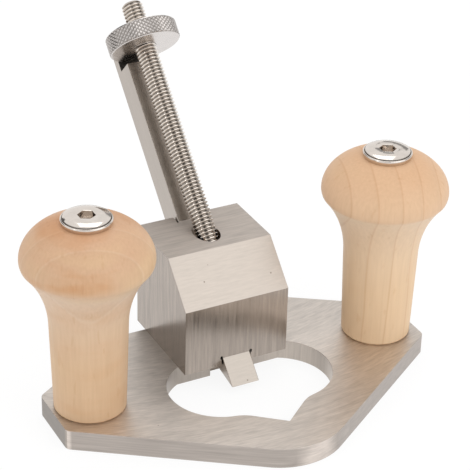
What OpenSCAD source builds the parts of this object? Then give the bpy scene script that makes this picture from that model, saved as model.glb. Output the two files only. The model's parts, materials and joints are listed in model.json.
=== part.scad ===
// Hand router plane: a diamond-shaped steel sole with a block-shaped tool post, an inclined square
// blade that a knurled nut raises and lowers along a threaded rod, and two turned wooden knobs.
// The sole lies on z = 0, the mid-plane is x = 0, and y = 0 runs through the middle of the tool post.
// The user stands behind the post (+Y) and the cutting edge points forward (-Y).

/* [Tool post] */
// Width of the post across the plane
post_w = 30; // [24:0.5:40]
// Depth of the post, front to back
post_d = 30; // [26:0.5:40]
// Height of the post above the base plate
post_h = 29.8; // [24:0.1:40]
// Length of the post that hangs over the back edge of the plate
post_overhang = 5; // [2:0.5:8]
// Distance from the rod's axis to the sloping front facet of the post
facet_dist = 5.7; // [5:0.1:8]

/* [Base plate] */
// Thickness of the base plate
plate_t = 5.6; // [4:0.1:8]
// Plate beyond the centre of each knob, out to the wing tip
tip_margin = 10.2; // [9.5:0.1:16]
// Length of the straight edge at each wing tip
tip_len = 17; // [12:0.5:24]
// Radius of the corners at the wing tips
tip_r = 2; // [0.5:0.5:4]
// Distance from the knob line to the point where the front edges would meet
front_reach = 44; // [40:0.5:56]
// Distance from the knob line to the point where the back edges would meet
back_reach = 42.5; // [38:0.5:54]
// Radius of the rounded nose at the front
nose_r = 18.5; // [10:0.5:28]

/* [Mouth] */
// Radius of the rounded ends of the mouth
mouth_r = 14; // [11:0.1:15]
// Distance between the centres of the rounded ends
mouth_span = 17.6; // [12:0.1:24]
// Depth of the mouth that runs back under the post
mouth_under = 4.5; // [3:0.1:7]
// Depth of the round ends that the mouth's straight back edge cuts off
mouth_flat = 1.5; // [0.4:0.1:3]
// Reach of the sighting notch in front of the rounded mouth
notch_reach = 7.6; // [4:0.1:10]
// Slope of the sides of the sighting notch, measured from the front edge
notch_slope = 39; // [34:1:45]
// Radius that blends the sighting notch into the round ends
notch_blend_r = 9; // [3:0.5:12]

/* [Blade] */
// Width of the blade's bar across the plane
blade_w = 8; // [6:0.1:10]
// Thickness of the blade's bar, front face to back face
blade_d = 8.5; // [7:0.1:10]
// Lean of the blade and the rod from the vertical
blade_tilt = 45; // [42:0.5:50]
// Height above the plate at which the blade's upper face leaves the post
blade_exit_h = 2.3; // [1.5:0.1:4]
// Height of the cutting edge above the sole
edge_h = 2.1; // [0.5:0.1:4]
// Clearance angle between the ground end of the blade and the work
edge_relief = 10; // [5:1:15]
// Bar left above the nut's notch
hook_t = 2.2; // [2:0.1:6]
// Side clearance of the blade in its slot
slot_side_gap = 0.3; // [0.1:0.05:0.6]
// Clearance between the blade's front face and its slot
slot_front_gap = 0.1; // [0.05:0.05:0.4]
// Clearance behind the blade, which the lock screw bridges
slot_back_gap = 1.7; // [0.8:0.1:2.5]
// Radius of the relief drilled along each front corner of the slot
slot_corner_r = 0.4; // [0.3:0.1:1]
// Extra side clearance where the blade passes through the plate
relief_side_gap = 1; // [0.5:0.1:2]

/* [Adjuster] */
// Major diameter of the threaded rod
rod_d = 6; // [5:0.5:8]
// Distance from the blade's front face to the rod's axis
rod_offset = 6.2; // [5:0.1:8]
// Length of the rod above the top of the post, along its axis
rod_rise = 67; // [62:0.5:90]
// Length of the rod inside the post, along its axis
rod_sink = 16; // [11:0.5:20]
// Chamfer at both ends of the rod
rod_chamfer = 0.7; // [0.3:0.1:1.2]
// Width of the open ring round the rod where it enters the post
rod_ring = 0.5; // [0.2:0.1:1]
// Depth of that open ring along the rod's axis
rod_ring_depth = 8; // [5:0.5:9]
// Diameter of the knurled nut
nut_d = 20; // [17:0.5:22]
// Thickness of the knurled nut
nut_t = 5; // [3:0.1:7]
// Chamfer of the nut's rims
nut_chamfer = 0.45; // [0.2:0.05:0.8]
// Distance of the nut above the top of the post, along the rod
nut_rise = 54; // [40:0.5:56]
// Play between the top of the nut and the hook of the blade
nut_play = 0.4; // [0.2:0.05:0.8]
// Room in the notch below the nut
nut_room = 1.5; // [0.4:0.1:2.5]
// Gap between the nut's rim and the back of its notch
nut_notch_gap = 1.8; // [0.4:0.1:2.2]
// Radial clearance of every threaded or running fit
fit_gap = 0.05; // [0.02:0.01:0.1]

/* [Lock screw] */
// Diameter of the set screw that clamps the blade
lock_d = 6; // [4:0.5:6]
// Length of the set screw
lock_len = 6; // [5:0.5:8]
// Distance of the set screw along the blade from the front of the post
lock_along = 25; // [22:0.5:28]
// Gap between the set screw's tip and the blade
lock_gap = 0.1; // [0.05:0.05:0.3]
// Key size of the set screw's hexagon socket
lock_key = 3; // [2:0.5:3]

/* [Knobs] */
// Distance between the axes of the two knobs
knob_spacing = 84.8; // [80:0.2:110]
// Distance of the knob line in front of the post
knob_ahead = 1; // [-4:0.5:6]
// Radius of the knob's foot
knob_foot_r = 9.3; // [8:0.1:11]
// Radius of the knob's stem where the flare starts
knob_neck_r = 10; // [8:0.1:12]
// Height of the straight stem
knob_stem_h = 24; // [16:0.5:30]
// Height of the hollow flare between the stem and the edge of the cap
knob_flare_h = 17.5; // [14:0.5:22]
// Largest radius of the cap
knob_cap_r = 16.8; // [15.5:0.1:20]
// Swell of the cap beyond its lower edge
knob_lip_w = 0.3; // [0.1:0.05:1]
// Height from the cap's lower edge to its widest part
knob_lip_h = 1.5; // [1:0.1:4]
// Height of the dome above the widest part of the cap
knob_dome_h = 10.8; // [8:0.1:16]
// Chamfer round the knob's foot
knob_foot_chamfer = 0.5; // [0.2:0.1:1]
// Clearance of the bolt in the knob's bore, all round
knob_bore_gap = 0.2; // [0.1:0.05:0.5]

/* [Knob bolts] */
// Diameter of the bolt's shank
bolt_d = 6; // [4:0.5:8]
// Diameter of the bolt's flat head
bolt_head_d = 13; // [11:0.1:16]
// Thickness of the bolt's head
bolt_head_t = 2.1; // [1.6:0.1:3]
// Bevel round the top of the head, measured inwards
bolt_bevel_w = 2.4; // [1.2:0.1:3]
// Height of the bevel
bolt_bevel_h = 0.7; // [0.4:0.1:1.2]
// Key size of the hexagon socket
bolt_key = 4; // [3:0.5:5]
// Depth of the hexagon socket
bolt_socket = 2.6; // [1.5:0.1:3.5]
// Bare knob left round the bolt's head
bolt_seat_rim = 0.3; // [0.1:0.1:1]
// Distance of the bolt's end above the sole
bolt_end_h = 0.6; // [0.2:0.1:1.5]

/* [Post screws] */
// Diameter of the countersunk screws that hold the post
screw_d = 5; // [3:0.5:6]
// Diameter of the countersunk head
screw_head_d = 9.6; // [8:0.1:11]
// Length of each screw
screw_len = 15; // [10:0.5:18]
// Distance of each screw's axis from the side of the post
screw_inset = 5; // [4.5:0.1:6]
// Depth of the screw's head below the sole's surface
screw_sink = 0.2; // [0.1:0.05:0.5]
// Key size of the screw's hexagon socket
screw_key = 3; // [2:0.5:3]
// Depth of the screw's hexagon socket
screw_socket = 1.8; // [1:0.1:2.5]

/* [Hidden] */
$fn = 96;
STEEL = [0.70, 0.67, 0.63];
NICKEL = [0.78, 0.76, 0.72];
CHROME = [0.85, 0.84, 0.83];
MAPLE = [0.90, 0.75, 0.57];
cut = 1;

post_front = -post_d / 2;
post_back = post_d / 2;
post_top = plate_t + post_h;
knob_x = knob_spacing / 2;
knob_y = post_front - knob_ahead;
tip_x = knob_x + tip_margin;
plate_back = post_back - post_overhang;
mouth_back = post_front + mouth_under;
mouth_y = mouth_back - mouth_r + mouth_flat;
screw_x = post_w / 2 - screw_inset;
screw_y = (mouth_back + plate_back) / 2;

// Along the blade: the local z axis follows the blade upwards, the local y axis goes square through it
// to the back, and the origin is where the blade's upper face leaves the front of the post.
exit_z = plate_t + blade_exit_h;
edge_along = (edge_h - exit_z) / cos(blade_tilt);
rod_mouth = (post_h - blade_exit_h - rod_offset * sin(blade_tilt)) / cos(blade_tilt);
nut_low = rod_mouth + nut_rise;
nut_high = nut_low + nut_t;
blade_top = nut_high + nut_play + hook_t;
nut_bite = nut_d / 2 - rod_offset + nut_notch_gap;
slot_back = blade_d + slot_back_gap;
slot_w = blade_w + 2 * slot_side_gap;
through = 3 * (post_h + post_d);

knob_wide_h = knob_stem_h + knob_flare_h + knob_lip_h;
knob_seat_r = bolt_head_d / 2 + bolt_seat_rim;
seat_angle = acos(knob_seat_r / knob_cap_r);
knob_h = knob_wide_h + knob_dome_h * sin(seat_angle);

// Arc round a centre, swept from one radius vector to another
function unit(v) = v / norm(v);
function arc_between(centre, from, to, steps = 6) =
    [for (i = [0 : steps])
        let (mix = unit(from * (steps - i) + to * i))
        centre + norm(from) * mix];

// Arc that rounds the corner b of the path a, b, c with the radius r
function corner_arc(a, b, c, r) =
    let (p = unit(a - b), q = unit(c - b))
    let (half = acos(p * q) / 2)
    let (centre = b + unit(p + q) * r / sin(half))
    let (from = b + p * r / tan(half) - centre, to = b + q * r / tan(half) - centre)
    arc_between(centre, from, to);

// The points of one half of an outline, from front to back, followed by their mirror images
function both_halves(half) =
    concat(half, [for (i = [len(half) - 1 : -1 : 0]) if (half[i].x != 0) [-half[i].x, half[i].y]]);

module mirrored(sides) {
    for (side = sides)
        translate([side, 0, 0])
            children();
}

module along_blade() {
    translate([0, post_front, exit_z])
        rotate([-blade_tilt, 0, 0])
            children();
}

// A shape drawn in the local y-z plane and given a width along x
module side_profile(points, width) {
    rotate([90, 0, 90])
        linear_extrude(width, center = true)
            polygon(points);
}

module hexagon(key, depth) {
    cylinder(d = key / cos(30), h = depth, $fn = 6);
}

// Outline of the sole: a diamond with cut wing tips, a straight back and a rounded nose
module plate_outline() {
    front_point = [0, knob_y - front_reach];
    back_point = [0, knob_y + back_reach];
    tip_front = [tip_x, knob_y - tip_len / 2];
    tip_back = [tip_x, knob_y + tip_len / 2];
    back_share = (back_point.y - plate_back) / (back_point.y - tip_back.y);
    back_corner = [tip_x * back_share, plate_back];
    nose_angle = atan2(tip_front.y - front_point.y, tip_x);
    nose_centre = front_point + [0, nose_r / cos(nose_angle)];
    nose_touch = nose_centre + nose_r * [sin(nose_angle), -cos(nose_angle)];
    half = concat([nose_touch],
        corner_arc(nose_touch, tip_front, tip_back, tip_r),
        corner_arc(tip_front, tip_back, back_corner, tip_r),
        [back_corner]);
    polygon(both_halves(half));
    translate(nose_centre)
        circle(nose_r);
}

// Outline of the mouth: round ends, a straight back edge under the post, and in front a pointed sighting
// notch, whose sides blend into the round ends
module mouth_outline() {
    end_centre = [mouth_span / 2, mouth_y];
    notch_point = [0, mouth_y - mouth_r - notch_reach];
    along_side = [cos(notch_slope), sin(notch_slope)];
    into_plate = [sin(notch_slope), -cos(notch_slope)] * notch_blend_r;
    start = notch_point + into_plate - end_centre;
    reach = start * along_side;
    side_len = -reach - sqrt(reach * reach - start * start + pow(mouth_r + notch_blend_r, 2));
    blend_centre = notch_point + into_plate + side_len * along_side;
    to_end = unit(end_centre - blend_centre) * notch_blend_r;
    difference() {
        union() {
            for (side = [-1, 1])
                translate([side * end_centre.x, mouth_y])
                    circle(mouth_r);
            translate([-end_centre.x, mouth_y])
                square([mouth_span, mouth_r]);
            polygon(both_halves(concat([notch_point],
                arc_between(blend_centre, -into_plate, to_end), [end_centre])));
        }
        translate([-through, mouth_back])
            square([2 * through, through]);
    }
}

// Body of a countersunk screw that points up, with room all round it for the hole's shape
module countersunk(room) {
    shank_r = screw_d / 2 + room;
    head_r = screw_head_d / 2 + room;
    rotate_extrude()
        polygon([[0, 0], [head_r, 0], [shank_r, head_r - shank_r], [shank_r, screw_len], [0, screw_len]]);
}

module base_plate() {
    color(STEEL)
        difference() {
            linear_extrude(plate_t)
                difference() {
                    plate_outline();
                    mouth_outline();
                }
            along_blade()
                side_profile([[-slot_front_gap, -through], [slot_back, -through],
                    [slot_back, through], [-slot_front_gap, through]], slot_w + 2 * relief_side_gap);
            mirrored([-knob_x, knob_x])
                translate([0, knob_y, -cut])
                    cylinder(d = bolt_d + 2 * fit_gap, h = plate_t + 2 * cut);
            mirrored([-screw_x, screw_x])
                translate([0, screw_y, 0]) {
                    translate([0, 0, screw_sink])
                        countersunk(fit_gap);
                    translate([0, 0, -cut])
                        cylinder(d = screw_head_d + 2 * fit_gap, h = screw_sink + cut);
                }
        }
}

module tool_post() {
    ring_low = rod_mouth - rod_ring_depth;
    rod_low = rod_mouth - rod_sink;
    color(STEEL)
        difference() {
            translate([-post_w / 2, post_front, plate_t])
                cube([post_w, post_d, post_h]);
            along_blade() {
                side_profile([[-through, -through], [-rod_offset - facet_dist, -through],
                    [-rod_offset - facet_dist, through], [-through, through]], post_w + 2 * cut);
                side_profile([[-slot_front_gap, -through], [slot_back, -through],
                    [slot_back, through], [-slot_front_gap, through]], slot_w);
                mirrored([-slot_w / 2, slot_w / 2])
                    translate([0, -slot_front_gap, -through])
                        cylinder(r = slot_corner_r, h = 2 * through);
                translate([0, -rod_offset, rod_low])
                    cylinder(d = rod_d + 2 * fit_gap, h = through);
                translate([0, -rod_offset, ring_low])
                    cylinder(d = rod_d + 2 * rod_ring, h = through);
                translate([0, slot_back - cut, lock_along])
                    rotate([-90, 0, 0])
                        cylinder(d = lock_d + 2 * fit_gap, h = through);
            }
            mirrored([-screw_x, screw_x])
                translate([0, screw_y, screw_sink])
                    cylinder(d = screw_d + 2 * fit_gap, h = screw_len + fit_gap);
        }
}

module post_screw(x) {
    color(STEEL)
        translate([x, screw_y, screw_sink])
            difference() {
                countersunk(0);
                translate([0, 0, -cut])
                    hexagon(screw_key, screw_socket + cut);
            }
}

// Half outline of a knob, from the foot up to the seat of the bolt's head
module knob_profile() {
    bore_r = bolt_d / 2 + knob_bore_gap;
    flare_w = knob_cap_r - knob_lip_w - knob_neck_r;
    flare_r = (knob_flare_h * knob_flare_h + flare_w * flare_w) / (2 * flare_w);
    flare_sweep = 2 * atan(flare_w / knob_flare_h);
    lip_r = (knob_lip_h * knob_lip_h + knob_lip_w * knob_lip_w) / (2 * knob_lip_w);
    lip_sweep = 2 * atan(knob_lip_w / knob_lip_h);
    flare = [for (i = [0 : 10])
        let (a = flare_sweep * i / 10)
        [knob_neck_r + flare_r * (1 - cos(a)), knob_stem_h + flare_r * sin(a)]];
    lip = [for (i = [1 : 4])
        let (a = lip_sweep * (i / 4 - 1))
        [knob_cap_r - lip_r * (1 - cos(a)), knob_wide_h + lip_r * sin(a)]];
    dome = [for (i = [1 : 12])
        let (a = seat_angle * i / 12)
        [knob_cap_r * cos(a), knob_wide_h + knob_dome_h * sin(a)]];
    foot = [[bore_r, 0], [knob_foot_r - knob_foot_chamfer, 0], [knob_foot_r, knob_foot_chamfer]];
    polygon(concat(foot, flare, lip, dome, [[bore_r, knob_h]]));
}

module knob(x) {
    color(MAPLE)
        translate([x, knob_y, plate_t])
            rotate_extrude()
                knob_profile();
}

module knob_bolt(x) {
    head_r = bolt_head_d / 2;
    head_low = plate_t + knob_h;
    head_top = head_low + bolt_head_t;
    color(CHROME)
        translate([x, knob_y, 0])
            difference() {
                rotate_extrude()
                    polygon([[0, bolt_end_h], [bolt_d / 2, bolt_end_h], [bolt_d / 2, head_low],
                        [head_r, head_low], [head_r, head_top - bolt_bevel_h],
                        [head_r - bolt_bevel_w, head_top], [0, head_top]]);
                translate([0, 0, head_top - bolt_socket])
                    hexagon(bolt_key, bolt_socket + cut);
            }
}

module adjuster_rod() {
    rod_r = rod_d / 2;
    low = rod_mouth - rod_sink;
    high = rod_mouth + rod_rise;
    color(NICKEL)
        along_blade()
            translate([0, -rod_offset, 0])
                rotate_extrude()
                    polygon([[0, low], [rod_r - rod_chamfer, low], [rod_r, low + rod_chamfer],
                        [rod_r, high - rod_chamfer], [rod_r - rod_chamfer, high], [0, high]]);
}

// Square bar, ground to a cutting edge below and notched from the front for the nut
module blade() {
    end_rise = blade_d * tan(blade_tilt + edge_relief);
    color(STEEL)
        along_blade()
            side_profile([[0, edge_along], [blade_d, edge_along + end_rise], [blade_d, blade_top],
                [0, blade_top], [0, nut_high + nut_play], [nut_bite, nut_high + nut_play],
                [nut_bite, nut_low - nut_room], [0, nut_low - nut_room]], blade_w);
}

module adjuster_nut() {
    nut_r = nut_d / 2;
    bore_r = rod_d / 2 + fit_gap;
    color(NICKEL)
        along_blade()
            translate([0, -rod_offset, nut_low])
                rotate_extrude()
                    polygon([[bore_r, 0], [nut_r - nut_chamfer, 0], [nut_r, nut_chamfer],
                        [nut_r, nut_t - nut_chamfer], [nut_r - nut_chamfer, nut_t], [bore_r, nut_t]]);
}

module lock_screw() {
    socket = lock_len / 2;
    color(STEEL)
        along_blade()
            translate([0, blade_d + lock_gap, lock_along])
                rotate([-90, 0, 0])
                    difference() {
                        cylinder(d = lock_d, h = lock_len);
                        translate([0, 0, lock_len - socket])
                            hexagon(lock_key, socket + cut);
                    }
}

base_plate();
tool_post();
post_screw(-screw_x);  // left_post_screw
post_screw(screw_x);  // right_post_screw
knob(-knob_x);  // left_knob
knob(knob_x);  // right_knob
knob_bolt(-knob_x);  // left_knob_bolt
knob_bolt(knob_x);  // right_knob_bolt
adjuster_rod();
blade();
adjuster_nut();
lock_screw();
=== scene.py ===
# Hand router plane: a steel sole with a block-shaped tool post, an inclined blade that a knurled nut
# raises and lowers along a threaded rod, and two turned wooden knobs. Every piece is dressed where its
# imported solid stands, in metres, in the order in which the plane is put together.
import json
import math
import bpy
from mathutils import Matrix, Vector


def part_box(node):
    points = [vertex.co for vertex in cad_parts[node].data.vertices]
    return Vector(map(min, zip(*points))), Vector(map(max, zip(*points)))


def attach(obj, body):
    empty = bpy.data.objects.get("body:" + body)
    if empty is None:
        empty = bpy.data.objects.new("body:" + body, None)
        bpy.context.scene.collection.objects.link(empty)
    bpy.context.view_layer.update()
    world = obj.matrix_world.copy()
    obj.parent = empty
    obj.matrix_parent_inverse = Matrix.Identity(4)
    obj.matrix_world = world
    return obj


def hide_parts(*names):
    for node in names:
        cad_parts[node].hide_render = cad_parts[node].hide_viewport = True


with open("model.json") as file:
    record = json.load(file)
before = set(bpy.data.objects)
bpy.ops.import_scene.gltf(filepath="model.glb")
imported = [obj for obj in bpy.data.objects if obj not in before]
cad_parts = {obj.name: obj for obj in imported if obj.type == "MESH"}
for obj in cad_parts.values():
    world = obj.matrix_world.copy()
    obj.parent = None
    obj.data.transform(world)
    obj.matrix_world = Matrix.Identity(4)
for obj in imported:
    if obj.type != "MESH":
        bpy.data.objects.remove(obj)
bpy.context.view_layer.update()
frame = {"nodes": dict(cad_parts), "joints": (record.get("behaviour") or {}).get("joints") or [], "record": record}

# Base plate: the diamond-shaped sole, cut from 5.6 mm stainless plate with its mouth and screw holes.
# The top is ground on a disc, which leaves long flat arcs, and the sharp edges are broken with a stone.
mm = 0.001
WHITE = (1.0, 1.0, 1.0)
PLATE_EDGE = 0.22 * mm
PLATE_TONE = (0.58, 0.53, 0.485)
EDGE_TONE = (0.45, 0.402, 0.366)
# The left end has the edges' finish in a darker tone, as painted shade
END_SHADE_TONE = (0.28, 0.25, 0.225)
# The mouth's walls are darker partly for their milled finish and partly as painted shade under the post
MOUTH_TONE = (0.41, 0.365, 0.325)
MOUTH_HALF = 24.0 * mm
MOUTH_FRONT = -46.0 * mm
MOUTH_END = -8.0 * mm

# Places with painted light, or painted shade where the gain is below one, each with its x, y, reach and gain
# Painted light on the mouth's back and right walls, and painted shade on its walls by the notch in its front
MOUTH_BACK = (17.0 * mm, -10.0 * mm, 12.0 * mm, 1.27)
MOUTH_RIGHT = (18.5 * mm, -33.0 * mm, 12.0 * mm, 1.5)
MOUTH_NOTCH = (5.0 * mm, -38.0 * mm, 12.0 * mm, 0.6)
# Painted light on the top's two wings, which lightens the knobs' reflections in them
RIGHT_WING = (30.0 * mm, -24.0 * mm, 20.0 * mm, 1.2)
LEFT_WING = (-40.8 * mm, -31.0 * mm, 20.0 * mm, 1.2)
# Painted highlights on the rounded nose and on the rounded front left corner
NOSE = (2.0 * mm, -53.7 * mm, 6.5 * mm, 1.65)
CORNER = (-52.3 * mm, -24.5 * mm, 1.2 * mm, 1.6)
HALFWAY_GAIN = 0.95

# Grinding marks: waves per metre across them, the share of broad streaks, and the arcs of the disc
FINE_WAVES = 1900.0
STREAK_WAVES = 620.0
HAIR_WAVES = 9000.0
STREAK_SHARE = 0.35
GLOSS_SPREAD = 0.04
HAIR_HEIGHT = 0.03 * mm
DISC_CENTRE = (0.0, 0.125, 0.0)
ARC_RADIUS = 0.12
DOT_RADIUS = 0.18 * mm
DOT_BORDER = 1.4
DOT_SHADE = (0.5, 0.47, 0.45)

# Merging and breaking of edges
MERGE_GAP = 0.002 * mm
FLAT_WITHIN = math.radians(0.5)
SHARP_FROM = math.radians(28)


def alone(piece):
    """Makes one piece the active and only selected one."""
    bpy.ops.object.select_all(action="DESELECT")
    bpy.context.view_layer.objects.active = piece
    piece.select_set(True)


def edit(piece):
    """Opens one piece alone in edit mode."""
    if bpy.context.mode != "OBJECT":
        bpy.ops.object.mode_set(mode="OBJECT")
    alone(piece)
    bpy.ops.object.mode_set(mode="EDIT")
    bpy.ops.mesh.select_mode(type="VERT")


def apply_modifier(piece, kind, **settings):
    """Adds one modifier to the piece and applies it."""
    modifier = piece.modifiers.new(kind.lower(), kind)
    for name, value in settings.items():
        setattr(modifier, name, value)
    alone(piece)
    bpy.ops.object.modifier_apply(modifier=modifier.name)


def smooth(piece, degrees):
    """Smooth shading across every edge flatter than the angle."""
    alone(piece)
    bpy.ops.object.shade_smooth_by_angle(angle=math.radians(degrees))


def broken_edge_copy(node, name, width):
    """Copy of a machined solid with its triangles merged and its sharp edges broken."""
    piece = bpy.data.objects.new(name, frame["nodes"][node].data.copy())
    bpy.context.scene.collection.objects.link(piece)
    piece.data.materials.clear()
    edit(piece)
    bpy.ops.mesh.customdata_custom_splitnormals_clear()
    bpy.ops.mesh.select_all(action="SELECT")
    bpy.ops.mesh.remove_doubles(threshold=MERGE_GAP)
    bpy.ops.mesh.dissolve_limited(angle_limit=FLAT_WITHIN)
    bpy.ops.object.mode_set(mode="OBJECT")
    apply_modifier(piece, "BEVEL", width=width, segments=2, limit_method="ANGLE", angle_limit=SHARP_FROM,
                   miter_outer="MITER_ARC")
    smooth(piece, degrees=50)
    apply_modifier(piece, "WEIGHTED_NORMAL", keep_sharp=True, weight=100)
    return piece


def stands_for(piece, node):
    """Puts the dressed piece in its solid's place: on the same body, with the solid hidden."""
    record = frame["record"]
    body = next(name for name, nodes in record["behaviour"]["bodies"].items() if node in nodes)
    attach(piece, body)
    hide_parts(node)


def new_finish(name, **fixed):
    """New node material and its shader, with the shader's fixed inputs set."""
    material = bpy.data.materials.new(name)
    material.use_nodes = True
    shader = material.node_tree.nodes["Principled BSDF"]
    for socket, value in fixed.items():
        shader.inputs[socket].default_value = value
    return material, shader


def wire(material, kind, **inputs):
    """Adds a node and sets or links its inputs by name or number."""
    node = material.node_tree.nodes.new("ShaderNode" + kind)
    for name, value in inputs.items():
        socket = node.inputs[int(name[1:])] if name[0] == "_" and name[1:].isdigit() else node.inputs[name]
        if isinstance(value, bpy.types.NodeSocket):
            material.node_tree.links.new(value, socket)
        else:
            socket.default_value = value
    return node


def sums(material, operation, *values):
    """One step of arithmetic."""
    node = wire(material, "Math", **{f"_{i}": value for i, value in enumerate(values)})
    node.operation = operation
    return node.outputs[0]


def vector_sums(material, operation, *values):
    """One step of arithmetic with vectors."""
    node = wire(material, "VectorMath", **{f"_{i}": value for i, value in enumerate(values)})
    node.operation = operation
    return node.outputs["Value" if operation in ("DISTANCE", "LENGTH") else "Vector"]


def rescaled(material, value, low, high, start=0.0, end=1.0):
    """Value carried from the range start to end over to the range low to high."""
    limits = {"From Min": start, "From Max": end, "To Min": low, "To Max": high}
    return wire(material, "MapRange", Value=value, **limits).outputs["Result"]


def ramp(material, value, *stops):
    """Colour ramp through (position, colour) stops."""
    node = wire(material, "ValToRGB", Fac=value)
    while len(node.color_ramp.elements) < len(stops):
        node.color_ramp.elements.new(0.5)
    for element, (position, colour) in zip(node.color_ramp.elements, stops):
        element.position = position
        element.color = (*colour, 1.0)
    return node.outputs["Color"]


def shade(colour, factor):
    """Colour made darker or lighter by a factor."""
    return tuple(channel * factor for channel in colour)


def tinted(material, colour, tint):
    """Colour multiplied by a tint."""
    mixed = wire(material, "Mix")
    mixed.data_type = "RGBA"
    mixed.blend_type = "MULTIPLY"
    mixed.inputs[0].default_value = 1.0
    material.node_tree.links.new(colour, mixed.inputs[6])
    material.node_tree.links.new(tint, mixed.inputs[7])
    return mixed.outputs[2]


def object_place(material):
    """Place on the piece, in metres."""
    return wire(material, "TexCoord").outputs["Object"]


def mapped(material, place, **settings):
    """Place moved, turned or stretched by a Mapping node."""
    return wire(material, "Mapping", Vector=place, **settings).outputs["Vector"]


def straight_lines(material, turn=(0.0, 0.0, 0.0)):
    """Coordinates whose X runs along straight scratches, from side to side unless they are turned."""
    return mapped(material, object_place(material), Rotation=turn)


def upright_lines(material):
    """Coordinates whose X runs along upright scratches."""
    return straight_lines(material, (0.0, math.radians(90), 0.0))


def level_lines(material):
    """Coordinates whose X runs level along any upright face and whose Y runs up it."""
    split = wire(material, "SeparateXYZ", Vector=object_place(material))
    along = sums(material, "ADD", split.outputs["X"], split.outputs["Y"])
    return wire(material, "CombineXYZ", X=along, Y=split.outputs["Z"]).outputs["Vector"]


def disc_lines(material, centre=(0.0, 0.0, 0.0)):
    """Coordinates whose X runs along arcs round an upright axis."""
    apart = mapped(material, object_place(material), Location=tuple(-c for c in centre))
    split = wire(material, "SeparateXYZ", Vector=apart)
    x, y = split.outputs["X"], split.outputs["Y"]
    radius = sums(material, "SQRT", sums(material, "ADD", sums(material, "MULTIPLY", x, x),
                                         sums(material, "MULTIPLY", y, y)))
    angle = sums(material, "ARCTAN2", x, sums(material, "MULTIPLY", y, -1.0))
    along = sums(material, "MULTIPLY", angle, ARC_RADIUS)
    return wire(material, "CombineXYZ", X=along, Y=radius, Z=split.outputs["Z"]).outputs["Vector"]


def plate_arcs(material):
    """Coordinates whose X runs along the long arcs that the grinding disc leaves on the plate."""
    return disc_lines(material, DISC_CENTRE)


def noise(material, place, detail, scale=1.0, roughness=0.5):
    """Value of a noise texture."""
    return wire(material, "TexNoise", Vector=place, Scale=scale, Detail=detail,
                Roughness=roughness).outputs["Fac"]


def stretched_noise(material, lines, along, across, detail):
    """Noise drawn out along the scratches: waves per metre along and across them."""
    drawn = vector_sums(material, "MULTIPLY", lines, (along, across, across))
    return noise(material, drawn, detail, roughness=0.6)


def ground_steel(name, tone, rough, lines, length=90.0, contrast=0.08, relief=0.15, dots=0.0):
    """Ground steel: scratches over broader streaks, in colour, gloss and relief, and a few tiny dark dots.

    length is the waves per metre along the scratches, dots the cells per metre that hold one dot each."""
    material, shader = new_finish(name, Metallic=1.0)
    links = material.node_tree.links
    path = lines(material)
    fine = stretched_noise(material, path, length, FINE_WAVES, 2.0)
    streak = stretched_noise(material, path, length / 4, STREAK_WAVES, 3.0)
    both = sums(material, "MULTIPLY_ADD", streak, STREAK_SHARE,
                sums(material, "MULTIPLY", fine, 1.0 - STREAK_SHARE))
    colour = ramp(material, both, (0.32, shade(tone, 1.0 - contrast)), (0.50, tone),
                  (0.68, shade(tone, 1.0 + contrast)))
    if dots:
        cell = wire(material, "TexVoronoi", Vector=object_place(material), Scale=dots)
        rim = DOT_RADIUS * dots
        dot = ramp(material, cell.outputs["Distance"], (rim, DOT_SHADE), (rim * DOT_BORDER, WHITE))
        colour = tinted(material, colour, dot)
    links.new(colour, shader.inputs["Base Color"])
    gloss = rescaled(material, both, rough - GLOSS_SPREAD, rough + GLOSS_SPREAD, 0.3, 0.7)
    links.new(gloss, shader.inputs["Roughness"])
    hair = stretched_noise(material, path, length, HAIR_WAVES, 0.0)
    bump = wire(material, "Bump", Height=hair, Strength=relief, Distance=HAIR_HEIGHT)
    links.new(bump.outputs["Normal"], shader.inputs["Normal"])
    return material


def painted_light_spots(material, *places):
    """Paints light onto a finish round upright lines, or shade with a gain below one, with soft borders."""
    colour = material.node_tree.nodes["Principled BSDF"].inputs["Base Color"]
    plan = mapped(material, object_place(material), Scale=(1.0, 1.0, 0.0))
    for x, y, reach, gain in places:
        apart = vector_sums(material, "DISTANCE", plan, (x, y, 0.0))
        gleam = ramp(material, sums(material, "DIVIDE", apart, reach), (0.0, shade(WHITE, gain)),
                     (0.5, shade(WHITE, gain * HALFWAY_GAIN)), (1.0, WHITE))
        material.node_tree.links.new(tinted(material, colour.links[0].from_socket, gleam), colour)


def paint(piece, finishes):
    """Gives each face the first finish whose test it passes."""
    for material, _ in finishes:
        piece.data.materials.append(material)
    for face in piece.data.polygons:
        face.material_index = next(i for i, (_, test) in enumerate(finishes) if test(face))


def in_mouth(face):
    """True for the walls round the mouth."""
    return abs(face.center.x) < MOUTH_HALF and MOUTH_FRONT < face.center.y < MOUTH_END


def any_face(face):
    """True for every face that is left."""
    return True


plate_mouth = ground_steel("plate_mouth_milled", MOUTH_TONE, rough=0.36, lines=upright_lines, contrast=0.12)
# The mouth's walls get painted light at the back and right, and painted shade by the notch
painted_light_spots(plate_mouth, MOUTH_BACK, MOUTH_RIGHT, MOUTH_NOTCH)
plate_top = ground_steel("plate_disc_ground", PLATE_TONE, rough=0.45, lines=plate_arcs, length=350.0,
                         contrast=0.15, relief=0.2, dots=160.0)
# The top's wings get painted light
painted_light_spots(plate_top, RIGHT_WING, LEFT_WING)
# The left end is a darker copy of the edges' finish: painted shade
plate_end = ground_steel("plate_end_ground", END_SHADE_TONE, rough=0.34, lines=level_lines, length=220.0,
                         contrast=0.16, relief=0.2)
# The end gets a painted highlight at the front left corner
painted_light_spots(plate_end, CORNER)
plate_edge = ground_steel("plate_edge_ground", EDGE_TONE, rough=0.34, lines=level_lines, length=220.0,
                          contrast=0.16, relief=0.2)
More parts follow.
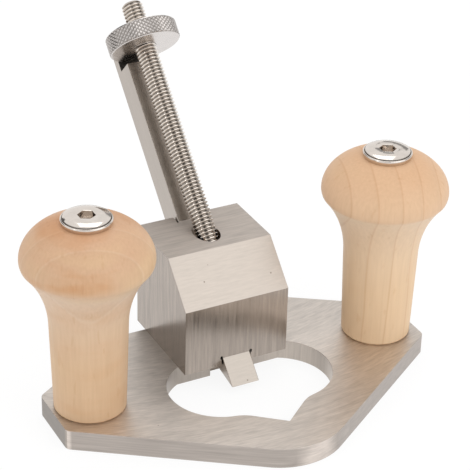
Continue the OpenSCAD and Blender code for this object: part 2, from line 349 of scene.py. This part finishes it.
# The edge gets painted highlights at the nose and at the front left corner
painted_light_spots(plate_edge, NOSE, CORNER)
plate = broken_edge_copy("base_plate", "ground_base_plate", PLATE_EDGE)
paint(plate, [
    (plate_top, lambda face: abs(face.normal.z) > 0.7),
    (plate_mouth, in_mouth),
    (plate_end, lambda face: face.normal.x < -0.9),
    (plate_edge, any_face)])
stands_for(plate, "base_plate")

# Tool post: a block of the same steel, milled and then belt-ground, with the sloping facet in front.
# The inclined slot for the blade goes right through it, and the rod and the lock screw have holes in it.
POST_EDGE = 0.1 * mm
FACET_TONE = (0.46, 0.41, 0.365)
TOP_TONE = (0.525, 0.474, 0.432)
SIDE_TONE = (0.395, 0.343, 0.300)
# The slot's walls are nearly black as painted shade
SLOT_SHADE_TONE = (0.10, 0.09, 0.08)
SLOT_HALF = 5.2 * mm
# Painted light lifts the slot's corner relief near its top exit
SLOT_TOP = (-4.3 * mm, 13.0 * mm, 6.0 * mm, 4.0)

joints = {joint["name"]: joint for joint in frame["joints"]}
slope = Vector(joints["blade_slide"]["axis"])
sideways = Vector((1.0, 0.0, 0.0))
blade_front = sideways.cross(slope)
blade_depth = [vertex.co.dot(blade_front) for vertex in frame["nodes"]["blade"].data.vertices]
blade_middle = (min(blade_depth) + max(blade_depth)) / 2


def in_slot(face):
    """True for the walls of the blade's slot and of the small reliefs at its corners."""
    return (abs(face.center.x) < SLOT_HALF and abs(face.center.dot(blade_front) - blade_middle) < SLOT_HALF
            and abs(face.normal.dot(slope)) < 0.3)


# The slot's walls get painted shade, with painted light near the top exit
post_slot = ground_steel("post_slot_milled", SLOT_SHADE_TONE, rough=0.5, lines=straight_lines)
painted_light_spots(post_slot, SLOT_TOP)
post_facet = ground_steel("post_facet_ground", FACET_TONE, rough=0.34, lines=straight_lines, length=260.0,
                          dots=260.0)
post_top = ground_steel("post_top_ground", TOP_TONE, rough=0.66, lines=straight_lines, length=150.0,
                        contrast=0.14)
post_sides = ground_steel("post_side_ground", SIDE_TONE, rough=0.22, lines=upright_lines, length=110.0,
                          contrast=0.17, relief=0.3)
post = broken_edge_copy("tool_post", "ground_tool_post", POST_EDGE)
paint(post, [
    (post_slot, in_slot),
    (post_facet, lambda face: face.normal.z > 0.5 and face.normal.y < -0.5),
    (post_top, lambda face: face.normal.z > 0.5),
    (post_sides, any_face)])
stands_for(post, "tool_post")

# Post screws: two countersunk machine screws of plain steel, driven up through the sole into the post.
# Their heads lie a little below the sole, so that they never touch the work.
SCREW_EDGE = 0.08 * mm
SCREW_TONE = (0.42, 0.40, 0.37)

screw_steel = ground_steel("turned_screw_steel", SCREW_TONE, rough=0.33, lines=disc_lines)
for side in ("left", "right"):
    screw = broken_edge_copy(f"{side}_post_screw", f"{side}_countersunk_screw", SCREW_EDGE)
    paint(screw, [(screw_steel, any_face)])
    stands_for(screw, f"{side}_post_screw")

# Knobs: turned on a lathe from pale, close-grained hardwood with the fibres upright, bored through for
# the bolt, and rubbed with clear oil. The two blanks stood differently to the growth layers.
STEM_HEIGHT = 24.0 * mm
FLARE_HEIGHT = 17.5 * mm
LIP_HEIGHT = 1.5 * mm
LIP_WIDTH = 0.3 * mm
FOOT_RADIUS = 9.3 * mm
NECK_RADIUS = 10.0 * mm
FOOT_CHAMFER = 0.5 * mm
KNOB_BORE = 3.2 * mm
SEAT_RADIUS = 6.8 * mm
DOME_HEIGHT = 10.8 * mm
KNOB_STEPS = 96

# Wood: its two colours, waves per metre of each figure across, along and up the grain, and the tints
# that follow the height, which is measured from the fold between flare and cap
WOOD_LIGHT = (0.80, 0.575, 0.385)
WOOD_DARK = (0.655, 0.405, 0.235)
LAYER_WAVES = (40.0, 22.0, 20.0)
LAYER_BEND = 0.7
FIBRE_WAVES = (1500.0, 1500.0, 55.0)
FIBRE_HEIGHT = 0.02 * mm
FLECK_WAVES = (420.0, 800.0, 190.0)
PATCH_WAVES = (45.0, 45.0, 150.0)
PATCH_SHIFT = (20.0, 0.0, 4.0)
CALM_STEM = 0.3
FOLD_HEIGHT = 47.1 * mm
HEIGHT_RISE = 20.0
FOOT_TINT = (1.0, 0.995, 0.945)
KNOB_WOODS = {
    "left": {
        "tone": (0.845, 0.805, 0.785), "turn": math.radians(-70), "spacing": 7.0 * mm, "offset": 0.15,
        "depth": -0.5, "patches": 0.34, "flare": (1.035, 1.12, 1.25), "warmth": (0.965, 0.928, 0.893),
        "crown": (0.985, 0.925, 0.91), "fold": 0.06},
    "right": {
        "tone": (1.0, 1.0, 1.0), "turn": math.radians(18.3), "spacing": 6.0 * mm, "offset": 0.55,
        "depth": 0.5, "patches": 0.07, "flare": (1.0, 1.05, 1.12), "warmth": (0.945, 0.90, 0.875),
        "crown": (0.93, 0.86, 0.79), "fold": 0.012}}


def arc(centre, radius, start, end, count):
    """Points of an arc or ellipse in a half outline of (radius, height) pairs."""
    rx, rz = radius
    angles = [math.radians(start + (end - start) * i / count) for i in range(count + 1)]
    return [(centre[0] + rx * math.cos(a), centre[1] + rz * math.sin(a)) for a in angles]


def drawn_line(name, points):
    """New piece, left in edit mode, that is one line drawn by extruding a vertex from point to point."""
    bpy.ops.object.select_all(action="DESELECT")
    bpy.ops.mesh.primitive_plane_add(size=mm)
    piece = bpy.context.object
    piece.name = name
    edit(piece)
    bpy.ops.mesh.select_all(action="SELECT")
    bpy.ops.mesh.merge(type="CENTER")
    last = Vector((0.0, 0.0, 0.0))
    for count, point in enumerate(Vector(point) for point in points):
        move = {"value": point - last}
        if count:
            bpy.ops.mesh.extrude_vertices_move(TRANSFORM_OT_translate=move)
        else:
            bpy.ops.transform.translate(**move)
        last = point
    return piece


def turned(name, outline, axis, steps):
    """Draws a half outline and spins it round an upright axis into a closed piece."""
    x, y = axis
    piece = drawn_line(name, [(x + radius, y, height) for radius, height in outline])
    bpy.ops.mesh.select_all(action="SELECT")
    bpy.ops.mesh.spin(steps=steps, angle=2 * math.pi, center=(x, y, 0.0), axis=(0.0, 0.0, 1.0))
    bpy.ops.mesh.select_all(action="SELECT")
    bpy.ops.mesh.remove_doubles(threshold=MERGE_GAP)
    bpy.ops.mesh.normals_make_consistent(inside=False)
    bpy.ops.object.mode_set(mode="OBJECT")
    return piece


def middle(low, high):
    """Upright axis through the middle of a box."""
    return (low.x + high.x) / 2, (low.y + high.y) / 2


def oiled_wood(name, axis, tone, turn, spacing, offset, depth, patches, flare, warmth, crown, fold):
    """Pale wood with upright fibres: growth layers, fibre streaks, flecks, and a warmer tone above the fold.

    turn, spacing, offset and depth place and darken the layers, and patches is the strength of the clouds;
    flare, warmth and crown tint it below the fold, above it and at the top; fold is the border's width."""
    material, shader = new_finish(name, **{"Specular IOR Level": 0.35})
    links = material.node_tree.links
    place = object_place(material)
    centred = mapped(material, place, Location=(-axis[0], -axis[1], 0.0))
    grain = mapped(material, centred, Rotation=(0.0, 0.0, turn))
    wave = noise(material, mapped(material, grain, Scale=LAYER_WAVES), 2.0)
    across = wire(material, "SeparateXYZ", Vector=grain).outputs["X"]
    layer = sums(material, "MULTIPLY_ADD", across, 1.0 / spacing,
                 sums(material, "MULTIPLY_ADD", wave, LAYER_BEND, offset))
    year = sums(material, "FRACT", layer)
    early = tuple(light * share for light, share in zip(WOOD_LIGHT, tone))
    late = tuple(light + (dark - light) * depth for light, dark in zip(early, WOOD_DARK))
    wood = ramp(material, year, (0.0, early), (0.6, shade(early, 0.99)), (0.89, shade(early, 0.965)),
                (0.95, late), (1.0, early))
    fibre = noise(material, mapped(material, grain, Scale=FIBRE_WAVES), 2.0)
    fleck = noise(material, mapped(material, grain, Scale=FLECK_WAVES), 1.0)
    cloud = noise(material, mapped(material, grain, Location=PATCH_SHIFT, Scale=PATCH_WAVES), 3.0)
    above = sums(material, "SUBTRACT", wire(material, "SeparateXYZ", Vector=place).outputs["Z"], FOLD_HEIGHT)
    height = sums(material, "MULTIPLY_ADD", above, HEIGHT_RISE, 0.5)
    vivid = rescaled(material, height, CALM_STEM, 1.0, 0.4, 0.55)
    patch = sums(material, "MULTIPLY_ADD", sums(material, "SUBTRACT", cloud, 0.5), vivid, 0.5)
    dark_patch = (1.0 - 0.2 * patches, 1.0 - 0.6 * patches, 1.0 - patches)
    light_patch = (1.0 + 0.15 * patches, 1.0 + 0.3 * patches, 1.0 + 0.2 * patches)
    top_tint = tuple(a * b for a, b in zip(warmth, crown))
    for tint in (
            ramp(material, fibre, (0.3, (0.965, 0.955, 0.94)), (0.7, (1.025, 1.025, 1.025))),
            ramp(material, fleck, (0.67, WHITE), (0.75, (0.955, 0.925, 0.89))),
            ramp(material, patch, (0.33, dark_patch), (0.5, WHITE), (0.67, light_patch)),
            ramp(material, height, (0.0, FOOT_TINT), (0.5 - fold, flare), (0.5 + fold / 2, warmth),
                 (0.72, top_tint))):
        wood = tinted(material, wood, tint)
    links.new(wood, shader.inputs["Base Color"])
    links.new(rescaled(material, fibre, 0.42, 0.58), shader.inputs["Roughness"])
    relief = wire(material, "Bump", Height=fibre, Strength=0.2, Distance=FIBRE_HEIGHT)
    links.new(relief.outputs["Normal"], shader.inputs["Normal"])
    return material


def knob_outline(foot, top, cap):
    """Half outline of a knob from the foot's bore up the outside and back down the bore."""
    edge = cap - LIP_WIDTH
    flare_width = edge - NECK_RADIUS
    flare_radius = (FLARE_HEIGHT ** 2 + flare_width ** 2) / (2 * flare_width)
    flare_turn = 2 * math.degrees(math.atan(flare_width / FLARE_HEIGHT))
    lip_radius = (LIP_HEIGHT ** 2 + LIP_WIDTH ** 2) / (2 * LIP_WIDTH)
    lip_turn = 2 * math.degrees(math.atan(LIP_WIDTH / LIP_HEIGHT))
    neck = foot + STEM_HEIGHT
    widest = neck + FLARE_HEIGHT + LIP_HEIGHT
    seat_turn = math.degrees(math.acos(SEAT_RADIUS / cap))
    outline = [(KNOB_BORE, foot), (FOOT_RADIUS - FOOT_CHAMFER, foot), (FOOT_RADIUS, foot + FOOT_CHAMFER)]
    outline += [(FOOT_RADIUS + (NECK_RADIUS - FOOT_RADIUS) * i / 4, foot + STEM_HEIGHT * i / 4)
                for i in (1, 2, 3)]
    outline += arc((NECK_RADIUS + flare_radius, neck), (-flare_radius, flare_radius), 0.0, flare_turn, 16)
    outline += arc((cap - lip_radius, widest), (lip_radius, lip_radius), -lip_turn, 0.0, 4)[1:]
    outline += arc((0.0, widest), (cap, DOME_HEIGHT), 0.0, seat_turn, 22)[1:]
    return outline + [(KNOB_BORE, top), (KNOB_BORE, foot)]


for side, figure in KNOB_WOODS.items():
    low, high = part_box(f"{side}_knob")
    axis = middle(low, high)
    outline = knob_outline(low.z, high.z, (high.x - low.x) / 2)
    knob = turned(f"{side}_turned_knob", outline, axis, KNOB_STEPS)
    smooth(knob, degrees=24)
    knob.data.materials.append(oiled_wood(f"{side}_oiled_wood", axis, **figure))
    stands_for(knob, f"{side}_knob")

# Knob bolts: low-headed socket screws, turned, polished and chromed. Each clamps its knob to the sole,
# and its wide bevelled head covers the end grain round the bore.
HEAD_HEIGHT = 2.1 * mm
HEAD_BEVEL_WIDTH = 2.4 * mm
HEAD_BEVEL_HEIGHT = 0.7 * mm
SHANK_RADIUS = 3.0 * mm
SOCKET_KEY = 4.0 * mm
SOCKET_DEPTH = 2.0 * mm
SOCKET_LEDGE = 0.06
DRILL_DEPTH = 0.9 * mm
CUT_OVER = 1.0 * mm
BOLT_EDGE = 0.13 * mm
BOLT_STEPS = 72
RIM_ROUND = 0.35 * mm
RIM_GROOVE = 0.22 * mm
CHROME_TONE = (0.70, 0.64, 0.585)
HAZE_WAVES = 600.0
GROOVE_MARGIN = 0.05 * mm
# Tint of the painted shade at the bottom of the grooves
GROOVE_SHADE_TINT = (1.0, 0.95, 0.9)


def pick(piece, kind, test):
    """Selects the faces, edges or vertices of the piece in edit mode that pass the test."""
    bpy.ops.mesh.select_mode(type={"polygons": "FACE", "edges": "EDGE", "vertices": "VERT"}[kind])
    bpy.ops.mesh.select_all(action="DESELECT")
    bpy.ops.object.mode_set(mode="OBJECT")
    for part in getattr(piece.data, kind):
        part.select = test(part)
    bpy.ops.object.mode_set(mode="EDIT")


def hexagon_cutter(axis, top):
    """Hexagon bar with a drill point below it, which cuts a key socket."""
    bpy.ops.object.select_all(action="DESELECT")
    bpy.ops.mesh.primitive_cylinder_add(vertices=6, radius=SOCKET_KEY / math.sqrt(3),
                                        depth=SOCKET_DEPTH + CUT_OVER,
                                        location=(*axis, top + (CUT_OVER - SOCKET_DEPTH) / 2))
    cutter = bpy.context.object
    edit(cutter)
    pick(cutter, "polygons", lambda face: face.normal.z < -0.9)
    bpy.ops.mesh.inset(thickness=SOCKET_KEY * SOCKET_LEDGE)
    bpy.ops.mesh.extrude_region_move(TRANSFORM_OT_translate={"value": (0.0, 0.0, -DRILL_DEPTH)})
    bpy.ops.mesh.merge(type="CENTER")
    bpy.ops.object.mode_set(mode="OBJECT")
    bpy.ops.object.transform_apply(location=True, rotation=True, scale=True)
    return cutter


def cut(piece, cutter, operation):
    """Boolean of the piece with the cutter, which is then thrown away."""
    apply_modifier(piece, "BOOLEAN", object=cutter, operation=operation, solver="EXACT")
    bpy.data.objects.remove(cutter)


def polished(name, tone, rough, point, direction, root, crest, groove_light):
    """Polished metal: a clean mirror with faint haze, and painted shade at the bottom of the grooves round an
    axis.

    root and crest are the grooves' radii round the axis; the last argument is the share of light that
    the painted shade leaves at the root."""
    material, shader = new_finish(name, Metallic=1.0)
    links = material.node_tree.links
    place = object_place(material)
    haze = noise(material, place, 3.0, scale=HAZE_WAVES)
    colour = ramp(material, haze, (0.3, shade(tone, 0.95)), (0.7, shade(tone, 1.04)))
    apart = vector_sums(material, "SUBTRACT", place, point)
    radius = vector_sums(material, "LENGTH", vector_sums(material, "CROSS_PRODUCT", apart, direction))
    rise = rescaled(material, radius, 0.0, 1.0, root - GROOVE_MARGIN, crest)
    groove_shade = ramp(material, rise, (0.0, WHITE), (0.01, shade(GROOVE_SHADE_TINT, groove_light)), (0.85, WHITE))
    links.new(tinted(material, colour, groove_shade), shader.inputs["Base Color"])
    links.new(rescaled(material, haze, rough * 0.7, rough * 1.3), shader.inputs["Roughness"])
    return material


for side in ("left", "right"):
    low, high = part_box(f"{side}_knob_bolt")
    axis = middle(low, high)
    rim = (high.x - low.x) / 2
    groove = rim - RIM_ROUND - RIM_GROOVE
    under = high.z - HEAD_HEIGHT
    shoulder = high.z - HEAD_BEVEL_HEIGHT
    outline = [(0.0, low.z), (SHANK_RADIUS - BOLT_EDGE, low.z), (SHANK_RADIUS, low.z + BOLT_EDGE),
               (SHANK_RADIUS, under), (rim - BOLT_EDGE, under)]
    outline += arc((rim - RIM_ROUND, shoulder - RIM_ROUND), (RIM_ROUND, RIM_ROUND), 0.0, 90.0, 6)
    outline += [(groove, shoulder - RIM_GROOVE), (groove, shoulder + RIM_GROOVE),
                (rim - HEAD_BEVEL_WIDTH, high.z), (0.0, high.z)]
    bolt = turned(f"{side}_socket_bolt", outline, axis, BOLT_STEPS)
    cut(bolt, hexagon_cutter(axis, high.z), "DIFFERENCE")
    apply_modifier(bolt, "BEVEL", width=BOLT_EDGE / 2, segments=2, limit_method="ANGLE",
                   angle_limit=math.radians(40))
    smooth(bolt, degrees=30)
    # Painted shade darkens the groove between the head's bevel and its rim
    chrome = polished(f"{side}_polished_chrome", CHROME_TONE, rough=0.12, point=Vector((*axis, 0.0)),
                      direction=Vector((0.0, 0.0, 1.0)), root=groove, crest=rim - RIM_ROUND, groove_light=0.12)
    bolt.data.materials.append(chrome)
    stands_for(bolt, f"{side}_knob_bolt")

# Adjuster rod: a length of 6 mm stainless stud with a rolled thread of 1 mm pitch, chamfered at both
# ends and screwed into the post ahead of the blade, along the same slope.
THREAD_RADIUS = 2.95 * mm
THREAD_PITCH = 1.0 * mm
THREAD_DEPTH = 0.56 * mm
THREAD_ROOT = THREAD_RADIUS - THREAD_DEPTH
THREAD_STEPS = 36
THREAD_LINE = ((THREAD_RADIUS, 0.0), (THREAD_RADIUS, 0.12), (THREAD_ROOT, 0.44), (THREAD_ROOT, 0.66),
               (THREAD_RADIUS, 1.0))
SPARE_TURNS = 2
STUD_CHAMFER = 0.7 * mm
STUD_TONE = (0.87, 0.805, 0.74)
BLANK_STEPS = 48
BISECT_GAP = 0.0001 * mm

nut_middle = Vector(joints["nut_spin"]["pos_m"])
adjuster = Matrix((sideways, slope.cross(sideways), slope)).transposed().to_4x4()
adjuster.translation = nut_middle


def reach(node):
    """Lowest and highest place of a node along the adjuster, measured from the nut's middle."""
    along = [(vertex.co - nut_middle).dot(slope) for vertex in frame["nodes"][node].data.vertices]
    return min(along), max(along)


def lay_on_slope(piece):
    """Turns a piece made upright at the origin onto the adjuster's slope and fixes it there."""
    alone(piece)
    piece.matrix_world = adjuster
    bpy.ops.object.transform_apply(location=True, rotation=True, scale=True)


def threaded_stud(name, low, high):
    """One pitch of the thread, wound up the axis by a screw, cut to length and chamfered at both ends."""
    turns = math.ceil((high - low) / THREAD_PITCH) + 2 * SPARE_TURNS
    start = low - SPARE_TURNS * THREAD_PITCH
    piece = drawn_line(name, [(radius, 0.0, start + share * THREAD_PITCH) for radius, share in THREAD_LINE])
    bpy.ops.object.mode_set(mode="OBJECT")
    apply_modifier(piece, "SCREW", axis="Z", angle=2 * math.pi, screw_offset=THREAD_PITCH, iterations=turns,
                   steps=THREAD_STEPS, render_steps=THREAD_STEPS, use_merge_vertices=True,
                   merge_threshold=MERGE_GAP)
    edit(piece)
    bpy.ops.mesh.select_all(action="SELECT")
    bpy.ops.mesh.remove_doubles(threshold=MERGE_GAP)
    for place, keep_above in ((low, True), (high, False)):
        bpy.ops.mesh.select_all(action="SELECT")
        bpy.ops.mesh.bisect(plane_co=(0.0, 0.0, place), plane_no=(0.0, 0.0, 1.0), use_fill=True,
                            clear_inner=keep_above, clear_outer=not keep_above, threshold=BISECT_GAP)
    bpy.ops.mesh.select_all(action="SELECT")
    bpy.ops.mesh.normals_make_consistent(inside=False)
    bpy.ops.object.mode_set(mode="OBJECT")
    wide = THREAD_RADIUS + CUT_OVER
    tip = wide - STUD_CHAMFER - CUT_OVER
    blank = [(0.0, low), (tip, low), (wide, low + STUD_CHAMFER + CUT_OVER),
             (wide, high - STUD_CHAMFER - CUT_OVER), (tip, high), (0.0, high)]
    cut(piece, turned("chamfered_blank", blank, (0.0, 0.0), BLANK_STEPS), "INTERSECT")
    return piece


stud = threaded_stud("threaded_adjuster_stud", *reach("adjuster_rod"))
lay_on_slope(stud)
smooth(stud, degrees=25)
# Painted shade darkens the thread's roots
stud.data.materials.append(polished(
    "rolled_stud_steel", STUD_TONE, rough=0.19, point=nut_middle, direction=slope, root=THREAD_ROOT,
    crest=THREAD_RADIUS, groove_light=0.3))
stands_for(stud, "adjuster_rod")

# Blade: an 8 mm square bar of tool steel, ground on its four faces. Its lower end is ground away to a
# cutting edge, and a notch milled from the front near its upper end takes the rim of the nut.
BLADE_EDGE = 0.18 * mm
BLADE_TONE = (0.48, 0.43, 0.385)
FRONT_TONE = (0.455, 0.41, 0.365)
NOTCH_ROOM = 2.5 * mm
NOTCH_SUNK = 0.3 * mm

nut_low, nut_high = reach("adjuster_nut")


def in_notch(face):
    """True for the walls of the notch that takes the nut's rim."""
    along = (face.center - nut_middle).dot(slope)
    beside_nut = nut_low - NOTCH_ROOM < along < nut_high + NOTCH_ROOM
    sunk = face.center.dot(blade_front) < max(blade_depth) - NOTCH_SUNK
    return beside_nut and sunk and abs(face.normal.x) < 0.5 and face.normal.dot(blade_front) > -0.5


def slope_lines(material):
    """Coordinates whose X runs along scratches up the blade's slope."""
    return straight_lines(material, (math.radians(45), math.radians(90), 0.0))


# The notch's walls get the slot's nearly black tone: painted shade round the nut's rim
blade_notch = ground_steel("blade_notch_milled", SLOT_SHADE_TONE, rough=0.5, lines=straight_lines)
blade_bevel = ground_steel("blade_bevel_ground", BLADE_TONE, rough=0.33, lines=straight_lines)
blade_face = ground_steel("blade_front_ground", FRONT_TONE, rough=0.38, lines=straight_lines, length=260.0,
                          dots=260.0)
blade_bar = ground_steel("blade_bar_ground", BLADE_TONE, rough=0.31, lines=slope_lines)
blade = broken_edge_copy("blade", "ground_blade", BLADE_EDGE)
paint(blade, [
    (blade_notch, in_notch),
    (blade_bevel, lambda face: face.normal.dot(slope) < -0.5),
    (blade_face, lambda face: face.normal.dot(blade_front) > 0.5),
    (blade_bar, any_face)])
stands_for(blade, "blade")

# Adjuster nut: a flat round nut, turned from steel, with a diamond knurl rolled into its rim and bright
# nickel plate over all. It turns on the stud, and its rim carries the blade by the notch.
KNURL_COUNT = 46
KNURL_ROWS = 4
KNURL_DEPTH = 0.25 * mm
KNURL_POINT = 0.97
NUT_CHAMFER = 0.25 * mm
NUT_CHAMFER_SHARE = 0.6
NUT_BORE = 3.05 * mm
NUT_TONE = (0.70, 0.66, 0.635)
RIM_NEAR = 0.03 * mm


def knurled_nut(name, low, high, radius):
    """Turned blank whose rim is divided into diamonds, each raised to a point."""
    groove = radius - KNURL_DEPTH
    bottom, top = low + NUT_CHAMFER, high - NUT_CHAMFER
    face_radius = groove - NUT_CHAMFER * NUT_CHAMFER_SHARE
    outline = [(NUT_BORE, low), (face_radius, low), (groove, bottom), (groove, top), (face_radius, high),
               (NUT_BORE, high), (NUT_BORE, low)]
    piece = turned(name, outline, (0.0, 0.0), KNURL_COUNT)

    def on_rim(point):
        beside = abs(math.hypot(point.x, point.y) - groove)
        return beside < RIM_NEAR and bottom - RIM_NEAR < point.z < top + RIM_NEAR

    def ends(edge):
        return [piece.data.vertices[v].co for v in edge.vertices]

    def upright(edge):
        a, b = ends(edge)
        return on_rim(a) and on_rim(b) and math.hypot(a.x - b.x, a.y - b.y) < RIM_NEAR

    def level_between(edge):
        a, b = ends(edge)
        level = abs(a.z - b.z) < RIM_NEAR
        return on_rim(a) and on_rim(b) and level and bottom + RIM_NEAR < a.z < top - RIM_NEAR

    def rim_face(face):
        return all(on_rim(piece.data.vertices[v].co) for v in face.vertices)

    edit(piece)
    pick(piece, "edges", upright)
    bpy.ops.mesh.subdivide(number_cuts=KNURL_ROWS - 1)
    pick(piece, "polygons", rim_face)
    bpy.ops.mesh.poke(offset=0.0)
    pick(piece, "edges", lambda edge: upright(edge) or level_between(edge))
    bpy.ops.mesh.dissolve_edges(use_verts=False)
    pick(piece, "polygons", rim_face)
    bpy.ops.mesh.poke(offset=KNURL_DEPTH * KNURL_POINT)
    bpy.ops.object.mode_set(mode="OBJECT")
    return piece


def off_axis(vertex):
    """Distance of a vertex from the adjuster's axis."""
    apart = vertex.co - nut_middle
    return (apart - slope * apart.dot(slope)).length


nut_radius = max(off_axis(vertex) for vertex in frame["nodes"]["adjuster_nut"].data.vertices)
nut = knurled_nut("knurled_adjuster_nut", nut_low, nut_high, nut_radius)
lay_on_slope(nut)
smooth(nut, degrees=20)
# Painted shade darkens the pits of the knurl
nut.data.materials.append(polished(
    "satin_nickel", NUT_TONE, rough=0.26, point=nut_middle, direction=slope, root=nut_radius - KNURL_DEPTH,
    crest=nut_radius, groove_light=0.32))
stands_for(nut, "adjuster_nut")

# Lock screw: a socket set screw of plain steel in the back of the post. It presses the blade against
# the front of its slot and is turned with a 3 mm key.
lock = broken_edge_copy("lock_screw", "socket_lock_screw", SCREW_EDGE)
paint(lock, [(screw_steel, any_face)])
stands_for(lock, "lock_screw")

# Studio: a white floor, softboxes overhead, in front to the right and at the left, and four grey cards
# that only the metal mirrors. The camera stands where the photograph was taken, with a long lens.
FLOOR_GAP = 0.1 * mm
FLOOR_SIZE = 6.0
FLOOR_GREY = (0.9, 0.9, 0.9, 1.0)
PURE_WHITE = (1.0, 1.0, 1.0, 1.0)
SHOWN_WHITE = 0.86
FLOOR_GLOW = 1.03
AMBIENT = 0.9
AIM = Vector((0.0, 0.0, 0.03))
CAMERA_PLACE = (-0.188033, -0.365005, 0.268742)
CAMERA_AZIMUTH, CAMERA_HEIGHT, CAMERA_ROLL = -28.0757, 29.4642, 1.5291
CAMERA_LENS = 137.29
CAMERA_SENSOR = 36.0
CAMERA_CLIP = (0.01, 20.0)


def shown_ray(material):
    """One for rays that show the backdrop itself: to the camera, in a mirror or through glass."""
    rays = wire(material, "LightPath").outputs
    mirrored = sums(material, "MAXIMUM", rays["Is Camera Ray"], rays["Is Glossy Ray"])
    return sums(material, "MAXIMUM", mirrored, rays["Is Transmission Ray"])


def to_surface(material, shader):
    """Puts a shader node on the material's output."""
    surface = material.node_tree.nodes["Material Output"].inputs["Surface"]
    material.node_tree.links.new(shader.outputs[0], surface)


bpy.ops.object.select_all(action="DESELECT")
bpy.ops.mesh.primitive_plane_add(size=FLOOR_SIZE, location=(0.0, 0.0, -FLOOR_GAP))
floor = bpy.context.object
floor.name = "white_floor"
paper, matt = new_finish("white_paper", Roughness=0.9)
matt.inputs["Base Color"].default_value = FLOOR_GREY
glow = wire(paper, "Emission", Color=PURE_WHITE, Strength=FLOOR_GLOW)
shown = sums(paper, "MULTIPLY", shown_ray(paper), SHOWN_WHITE)
to_surface(paper, wire(paper, "MixShader", Fac=shown, _1=matt.outputs[0], _2=glow.outputs[0]))
floor.data.materials.append(paper)

world = bpy.data.worlds.new("white_studio")
bpy.context.scene.world = world
world.use_nodes = True
sky = world.node_tree.nodes["Background"]
sky.inputs["Color"].default_value = PURE_WHITE
world.node_tree.links.new(rescaled(world, shown_ray(world), AMBIENT, 1.0), sky.inputs["Strength"])


def towards_plane(place):
    """Turn of a lamp or card at this place that faces the middle of the plane."""
    return (Vector(place) - AIM).to_track_quat("Z", "Y").to_euler()


def softbox(name, place, size, power):
    """Rectangular lamp that faces the middle of the plane and stays out of the picture."""
    bpy.ops.object.light_add(type="AREA", location=place)
    lamp = bpy.context.object
    lamp.name = name
    lamp.data.shape = "RECTANGLE"
    lamp.data.size, lamp.data.size_y = size
    lamp.data.energy = power
    lamp.rotation_euler = towards_plane(place)
    lamp.visible_camera = False


def flag(name, place, size, level):
    """Grey card that only the metal sees, as a darker band in it."""
    bpy.ops.object.select_all(action="DESELECT")
    bpy.ops.mesh.primitive_plane_add(size=1.0, location=place)
    card = bpy.context.object
    card.name = name
    card.scale = (*size, 1.0)
    card.rotation_euler = towards_plane(place)
    bpy.ops.object.transform_apply(location=True, rotation=True, scale=True)
    grey, _ = new_finish(name)
    to_surface(grey, wire(grey, "Emission", Color=PURE_WHITE, Strength=level))
    card.data.materials.append(grey)
    card.visible_camera = card.visible_diffuse = card.visible_transmission = card.visible_shadow = False


softbox("overhead_softbox", place=(0.24, 0.44, 0.98), size=(0.5, 0.42), power=0.85)
softbox("front_softbox", place=(0.49, -0.78, 0.80), size=(1.0, 1.2), power=3.0)
softbox("left_softbox", place=(-1.05, -0.26, 0.62), size=(0.15, 0.6), power=0.7)
flag("camera_flag", place=(-0.43, -0.66, 1.06), size=(0.8, 0.5), level=0.12)
flag("back_flag", place=(-0.57, 1.08, 0.62), size=(1.0, 0.5), level=0.05)
flag("right_flag", place=(0.88, 0.98, 0.45), size=(0.4, 0.35), level=0.35)
flag("side_flag", place=(1.15, -0.2, 0.57), size=(0.9, 0.6), level=0.25)

bpy.ops.object.select_all(action="DESELECT")
bpy.ops.object.camera_add(location=CAMERA_PLACE)
camera = bpy.context.object
azimuth, height, roll = (math.radians(angle) for angle in (CAMERA_AZIMUTH, CAMERA_HEIGHT, CAMERA_ROLL))
back = Vector((math.sin(azimuth) * math.cos(height), -math.cos(azimuth) * math.cos(height), math.sin(height)))
right = Vector((0.0, 0.0, 1.0)).cross(back).normalized()
level_view = Matrix((right, back.cross(right), back)).transposed()
camera.rotation_euler = (level_view @ Matrix.Rotation(roll, 3, "Z")).to_euler()
camera.data.lens = CAMERA_LENS
camera.data.sensor_width = CAMERA_SENSOR
camera.data.clip_start, camera.data.clip_end = CAMERA_CLIP
bpy.context.scene.camera = camera
bpy.context.scene.view_settings.view_transform = "Standard"
